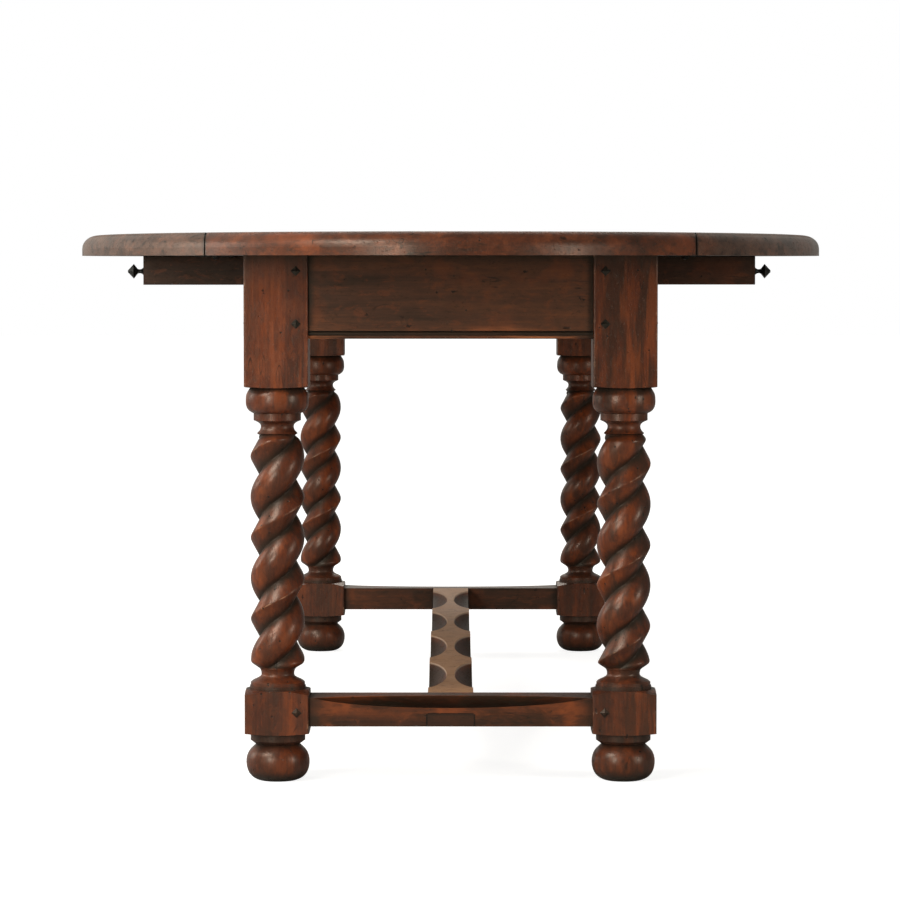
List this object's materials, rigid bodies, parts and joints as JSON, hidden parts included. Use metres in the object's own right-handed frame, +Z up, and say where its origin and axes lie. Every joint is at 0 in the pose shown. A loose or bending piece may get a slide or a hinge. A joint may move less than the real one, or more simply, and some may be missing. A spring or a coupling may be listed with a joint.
{
  "type": "drop-leaf dining table",
  "caption": "Oval dining table with two drop leaves on slide-out bearers, double-twist legs with bun feet, moulded aprons and a worn H stretcher.",
  "frame": {"origin": "on the floor below the middle of the top", "axes": "+X across the table, +Y along it away from the front end, +Z up"},
  "size_m": [1.19, 2.3799, 0.775],
  "materials": {
    "top_wood": "antiqued wax polish, dark and worn at the edges",
    "frame_wood": "antiqued wax polish with dents and dark streaks",
    "stretcher_wood": "antiqued wax polish, rubbed pale in the hollows",
    "inner_wood": "stained, unpolished",
    "peg_wood": "blackened, waxed",
    "black_iron": "blackened, satin",
    "screw_steel": "dull"
  },
  "bodies": {
    "frame": {"top_center": "top_wood", "leg_front_left": "frame_wood", "bun_foot_front_left": "frame_wood", "leg_front_right": "frame_wood", "bun_foot_front_right": "frame_wood", "leg_rear_left": "frame_wood", "bun_foot_rear_left": "frame_wood", "leg_rear_right": "frame_wood", "bun_foot_rear_right": "frame_wood", "end_apron_front": "frame_wood", "end_apron_rear": "frame_wood", "side_apron_left": "frame_wood", "side_apron_right": "frame_wood", "end_stretcher_front": "stretcher_wood", "end_stretcher_rear": "stretcher_wood", "long_stretcher": "stretcher_wood", "center_rail": "inner_wood", "corner_blocks": "inner_wood", "top_buttons": "inner_wood", "end_apron_pegs": "peg_wood", "side_apron_pegs": "peg_wood", "stretcher_pegs": "peg_wood", "lap_pegs": "peg_wood", "fixed_hinge_plates_left": "black_iron", "fixed_hinge_plates_right": "black_iron", "hinge_pins_left": "black_iron", "hinge_pins_right": "black_iron", "corner_block_screws": "screw_steel", "top_button_screws": "screw_steel", "fixed_hinge_screws": "screw_steel"},
    "leaf_left": {"leaf_left": "top_wood", "leaf_hinge_plates_left": "black_iron", "leaf_hinge_screws_left": "screw_steel"},
    "leaf_right": {"leaf_right": "top_wood", "leaf_hinge_plates_right": "black_iron", "leaf_hinge_screws_right": "screw_steel"},
    "loper_front_left": {"loper_front_left": "frame_wood", "loper_knob_front_left": "black_iron", "loper_stops_front_left": "inner_wood"},
    "loper_front_right": {"loper_front_right": "frame_wood", "loper_knob_front_right": "black_iron", "loper_stops_front_right": "inner_wood"},
    "loper_rear_left": {"loper_rear_left": "frame_wood", "loper_knob_rear_left": "black_iron", "loper_stops_rear_left": "inner_wood"},
    "loper_rear_right": {"loper_rear_right": "frame_wood", "loper_knob_rear_right": "black_iron", "loper_stops_rear_right": "inner_wood"}
  },
  "joints": [
    {"name": "leaf_left_hinge", "type": "hinge", "parent": "frame", "child": "leaf_left", "pos_m": [-0.3413, 0, 0.74], "axis": [0, 1, 0], "range_deg": [0, 2]},
    {"name": "leaf_right_hinge", "type": "hinge", "parent": "frame", "child": "leaf_right", "pos_m": [0.3413, 0, 0.74], "axis": [0, -1, 0], "range_deg": [0, 2]},
    {"name": "loper_front_left_slide", "type": "slide", "parent": "frame", "child": "loper_front_left", "axis": [-1, 0, 0], "range_m": [-0.168, 0]},
    {"name": "loper_front_right_slide", "type": "slide", "parent": "frame", "child": "loper_front_right", "axis": [1, 0, 0], "range_m": [-0.168, 0]},
    {"name": "loper_rear_left_slide", "type": "slide", "parent": "frame", "child": "loper_rear_left", "axis": [-1, 0, 0], "range_m": [-0.168, 0]},
    {"name": "loper_rear_right_slide", "type": "slide", "parent": "frame", "child": "loper_rear_right", "axis": [1, 0, 0], "range_m": [-0.168, 0]}
  ]
}
